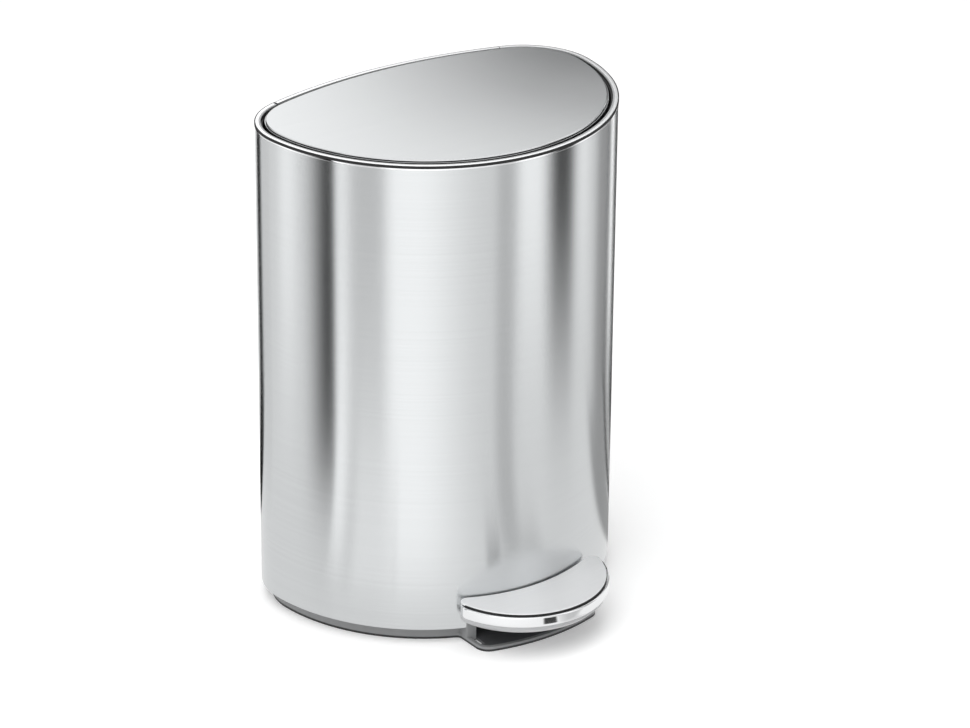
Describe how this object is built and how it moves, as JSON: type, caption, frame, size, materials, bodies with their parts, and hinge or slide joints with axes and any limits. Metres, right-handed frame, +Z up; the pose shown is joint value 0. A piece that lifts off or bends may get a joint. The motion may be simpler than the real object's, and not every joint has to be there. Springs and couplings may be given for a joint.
{
  "type": "step trash can",
  "caption": "Half-round steel step can: a flush lid hinged at the back opens when the crescent pedal in front is pressed, with a lift-out inner bucket.",
  "frame": {"origin": "on the floor, under the middle of the can with its pedal", "axes": "+X to the can's left-right, right when one looks at the pedal side along +Y; -Y towards the user, where the pedal is; +Z up"},
  "size_m": [0.2322, 0.2063, 0.3128],
  "materials": {
    "brushed_shell": "fine horizontal brushing",
    "brushed_lid": "fine brushing",
    "polished_steel": "polished",
    "grey_plastic": "fine grain",
    "black_plastic": "fine grain",
    "bucket_plastic": "smooth",
    "soft_rubber": "soft",
    "zinc_plated_steel": "zinc plated",
    "white_nylon": "natural nylon",
    "damper_grey": "smooth"
  },
  "bodies": {
    "can": {"outer_shell": "brushed_shell", "rim_ring": "polished_steel", "rear_trim": "polished_steel", "inner_collar": "black_plastic", "lid_bumpers": "soft_rubber", "base_moulding": "grey_plastic", "non_slip_ring": "soft_rubber", "bottom_plate": "black_plastic", "bottom_screws": "zinc_plated_steel", "pedal_axle": "zinc_plated_steel", "axle_spacers": "white_nylon", "axle_clips": "zinc_plated_steel", "rod_channel": "black_plastic", "channel_screws": "zinc_plated_steel", "lower_rod_guide": "black_plastic", "upper_rod_guide": "black_plastic", "damper_cylinder": "damper_grey", "hinge_pins": "zinc_plated_steel"},
    "lid": {"lid_skin": "brushed_lid", "lid_liner": "black_plastic", "lid_lever": "zinc_plated_steel", "lid_lever_pin": "zinc_plated_steel", "lever_screws": "zinc_plated_steel"},
    "pedal": {"pedal_plate": "brushed_lid", "pedal_band": "polished_steel", "pedal_body": "grey_plastic", "pedal_screws": "zinc_plated_steel", "pedal_arm": "zinc_plated_steel", "arm_tip_pin": "zinc_plated_steel"},
    "rod": {"lift_rod": "zinc_plated_steel", "rod_head": "white_nylon", "rod_foot": "white_nylon", "damper_clamp": "white_nylon", "damper_plunger": "zinc_plated_steel"},
    "bucket": {"bucket": "bucket_plastic"}
  },
  "joints": [
    {"name": "lid_hinge", "type": "hinge", "parent": "can", "child": "lid", "pos_m": [0, 0.08685, 0.3098], "axis": [-1, 0, 0], "range_deg": [0, 80]},
    {"name": "pedal_pivot", "type": "hinge", "parent": "can", "child": "pedal", "pos_m": [0, -0.03315, 0.012], "axis": [1, 0, 0], "range_deg": [0, 12.79]},
    {"name": "rod_lift", "type": "slide", "parent": "can", "child": "rod", "axis": [0, 0, 1], "range_m": [0, 0.02314]},
    {"name": "bucket_lift", "type": "slide", "parent": "can", "child": "bucket", "axis": [0, 0, 1], "range_m": [0, 0.01]}
  ],
  "couplings": [
    {"joint": "pedal_pivot", "follows": "lid_hinge", "ratio": 0.15984},
    {"joint": "rod_lift", "follows": "lid_hinge", "m_per_rad": 0.016573}
  ]
}
